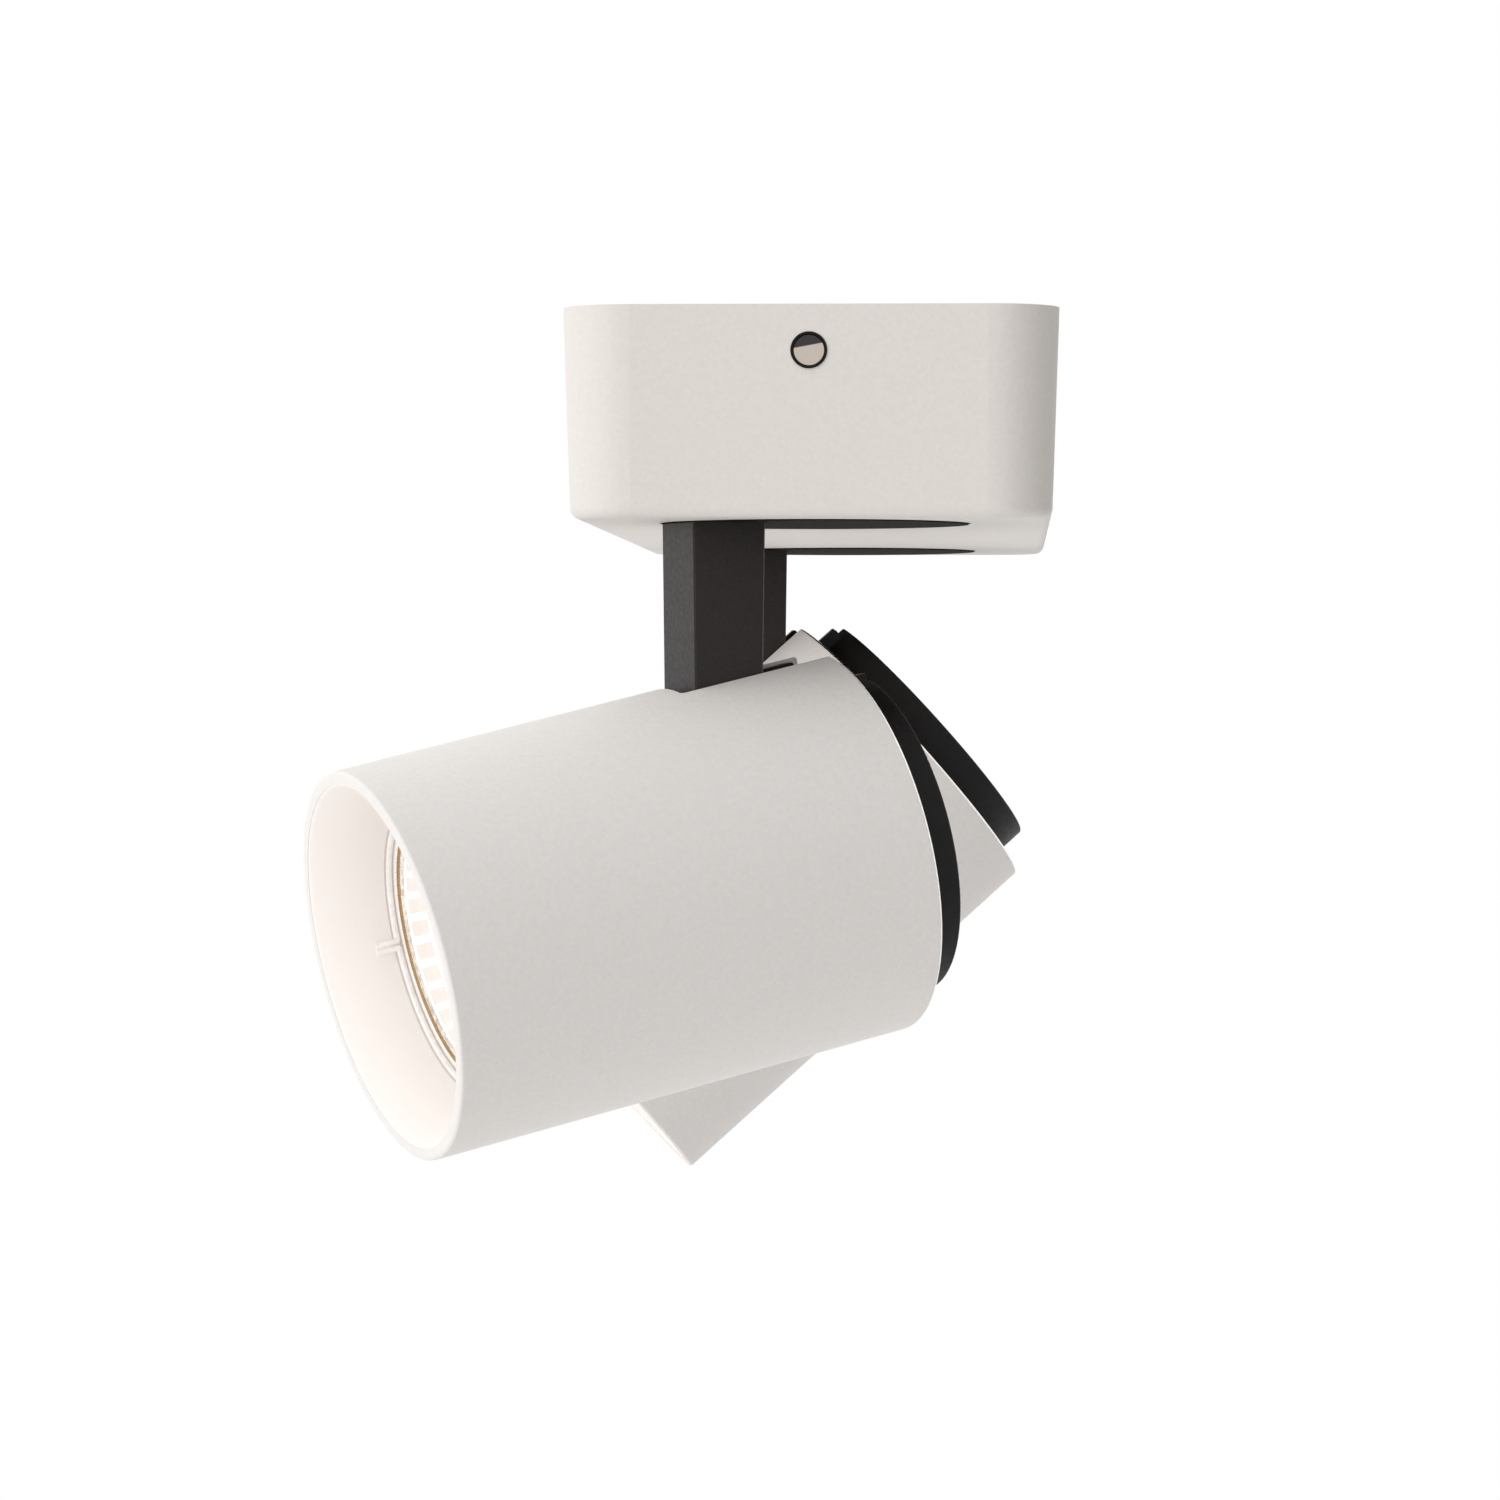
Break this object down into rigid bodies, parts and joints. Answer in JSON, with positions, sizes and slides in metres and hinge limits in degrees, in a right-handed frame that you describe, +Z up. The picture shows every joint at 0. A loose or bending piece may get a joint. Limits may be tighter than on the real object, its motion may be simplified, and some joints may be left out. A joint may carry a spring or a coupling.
{
  "type": "ceiling spotlight",
  "caption": "Surface-mounted ceiling spotlight: long rounded white base with round tube heads that swivel on discs and tilt on short arms, each with a recessed reflector lamp.",
  "frame": {"origin": "middle of the ceiling plate's upper face, which lies against the ceiling", "axes": "+Z up into the ceiling, Y along the base with head a at the -Y end, X across the base"},
  "size_m": [0.1345, 0.2989, 0.1662],
  "materials": {
    "cover_paint": "matt white powder coat over die-cast aluminium",
    "tube_paint": "matt white powder coat over aluminium tube",
    "baffle_white": "satin white",
    "dark_arm": "satin black anodised",
    "disc_black": "satin black anodised",
    "cap_black": "satin black",
    "shield_black": "matt black",
    "bright_screw": "zinc plated",
    "plated_steel": "zinc plated",
    "spring_steel": "bright spring wire",
    "brass_screw": "bright",
    "terminal_plastic": "natural white",
    "clamp_plastic": "white",
    "black_rubber": "matt",
    "slip_plastic": "slick natural white",
    "lead_insulation": "matt",
    "ceramic": "glazed ceramic",
    "reflector_mirror": "mirrored glass",
    "lamp_glass": "clear",
    "burner_glass": "frosted"
  },
  "bodies": {
    "base": {"base_cover": "cover_paint", "base_leads": "lead_insulation", "bearing_plate_a": "plated_steel", "bearing_plate_b": "plated_steel", "bearing_screws": "plated_steel", "cable_clamp": "clamp_plastic", "cable_grommet": "black_rubber", "ceiling_plate": "plated_steel", "cover_screws": "bright_screw", "plate_screws": "plated_steel", "slip_washers": "slip_plastic", "terminal_block": "terminal_plastic", "terminal_screws": "brass_screw"},
    "swivel_a": {"arm_a": "dark_arm", "arm_screws_a": "plated_steel", "slot_shield_a": "shield_black", "spring_washer_a": "spring_steel", "stem_nut_a": "plated_steel", "swivel_disc_a": "disc_black", "swivel_stem_a": "plated_steel"},
    "head_a": {"cap_screws_a": "plated_steel", "front_baffle_a": "baffle_white", "holder_bracket_a": "plated_steel", "holder_screws_a": "plated_steel", "lamp_burner_a": "burner_glass", "lamp_glass_a": "lamp_glass", "lamp_holder_a": "ceramic", "lamp_pins_a": "brass_screw", "lamp_reflector_a": "reflector_mirror", "pivot_nut_a": "plated_steel", "pivot_pin_a": "plated_steel", "rear_cap_a": "cap_black", "retaining_ring_a": "spring_steel", "tilt_bracket_a": "plated_steel", "tilt_washers_a": "slip_plastic", "tube_a": "tube_paint"},
    "swivel_b": {"arm_b": "dark_arm", "arm_screws_b": "plated_steel", "slot_shield_b": "shield_black", "spring_washer_b": "spring_steel", "stem_nut_b": "plated_steel", "swivel_disc_b": "disc_black", "swivel_stem_b": "plated_steel"},
    "head_b": {"cap_screws_b": "plated_steel", "front_baffle_b": "baffle_white", "holder_bracket_b": "plated_steel", "holder_screws_b": "plated_steel", "lamp_burner_b": "burner_glass", "lamp_glass_b": "lamp_glass", "lamp_holder_b": "ceramic", "lamp_pins_b": "brass_screw", "lamp_reflector_b": "reflector_mirror", "pivot_nut_b": "plated_steel", "pivot_pin_b": "plated_steel", "rear_cap_b": "cap_black", "retaining_ring_b": "spring_steel", "tilt_bracket_b": "plated_steel", "tilt_washers_b": "slip_plastic", "tube_b": "tube_paint"}
  },
  "joints": [
    {"name": "swivel_turn_a", "type": "hinge", "parent": "base", "child": "swivel_a", "pos_m": [0, -0.0975, -0.037], "axis": [0, 0, 1], "range_deg": [-199.9, 150.1]},
    {"name": "head_tilt_a", "type": "hinge", "parent": "swivel_a", "child": "head_a", "pos_m": [-0.01787, -0.10579, -0.0755], "axis": [0.421, -0.907, 0], "range_deg": [-13.3, 76.7]},
    {"name": "swivel_turn_b", "type": "hinge", "parent": "base", "child": "swivel_b", "pos_m": [0, 0.0975, -0.037], "axis": [0, 0, 1], "range_deg": [-183.4, 166.6]},
    {"name": "head_tilt_b", "type": "hinge", "parent": "swivel_b", "child": "head_b", "pos_m": [-0.01949, 0.09462, -0.0755], "axis": [0.1461, -0.9893, 0], "range_deg": [-41.8, 48.2]}
  ]
}
